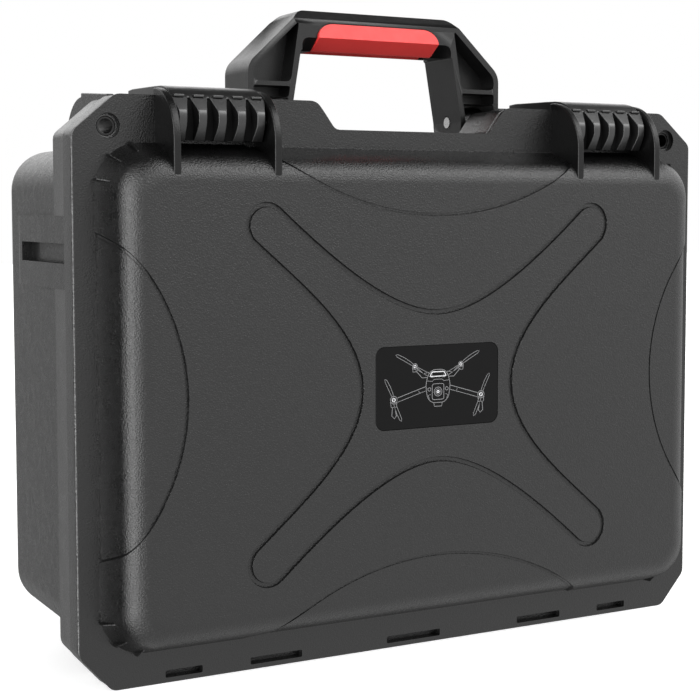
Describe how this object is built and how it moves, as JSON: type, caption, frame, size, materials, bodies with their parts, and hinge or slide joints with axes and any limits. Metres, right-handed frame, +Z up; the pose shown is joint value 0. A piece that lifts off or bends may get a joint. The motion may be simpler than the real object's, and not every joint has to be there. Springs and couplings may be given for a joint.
{
  "type": "hard carrying case",
  "caption": "Hard hinged carrying case for a folding camera drone, with latches, a fold-down handle, padlock holes and cut foam inside.",
  "frame": {"origin": "centre of the case's bounding box on the floor it stands on, with the case upright on its hinge side", "axes": "+Z up, +X along the hinge line, -Y out of the lid's front panel, +Y out of the base's back"},
  "size_m": [0.38, 0.1572, 0.348],
  "materials": {
    "shell": "fine pebble grain, dark grey",
    "latch": "satin, near black",
    "handle": "satin, near black",
    "grip": "smooth soft touch, red",
    "gasket": "matt black",
    "foam": "open-cell foam, charcoal",
    "label": "satin black with a light grey line drawing",
    "steel": "bright, turned",
    "bush": "black oxide, polished bore"
  },
  "bodies": {
    "base": {"base_shell": "shell", "hinge_pin_left": "steel", "hinge_pin_middle": "steel", "hinge_pin_right": "steel", "handle_pin_left": "steel", "handle_pin_right": "steel", "lid_seal": "gasket", "base_foam": "foam", "foam_floor": "foam", "lock_bush_left": "bush", "lock_bush_right": "bush"},
    "lid": {"lid_shell": "shell", "lid_foam": "foam", "label_plate": "label", "latch_pin_left": "steel", "latch_pin_right": "steel"},
    "latch_left": {"latch_left": "latch"},
    "latch_right": {"latch_right": "latch"},
    "handle": {"handle_frame": "handle", "handle_grip": "grip"}
  },
  "joints": [
    {"name": "lid_hinge", "type": "hinge", "parent": "base", "child": "lid", "pos_m": [0, -0.04535, 0.0047], "axis": [1, 0, 0], "range_deg": [0, 95]},
    {"name": "latch_left_pivot", "type": "hinge", "parent": "lid", "child": "latch_left", "pos_m": [-0.11925, -0.06395, 0.2831], "axis": [1, 0, 0], "range_deg": [0, 105]},
    {"name": "latch_right_pivot", "type": "hinge", "parent": "lid", "child": "latch_right", "pos_m": [0.11925, -0.06395, 0.2831], "axis": [1, 0, 0], "range_deg": [0, 105]},
    {"name": "handle_pivot", "type": "hinge", "parent": "base", "child": "handle", "pos_m": [0, 0.00165, 0.29], "axis": [-1, 0, 0], "range_deg": [-20, 88]}
  ]
}
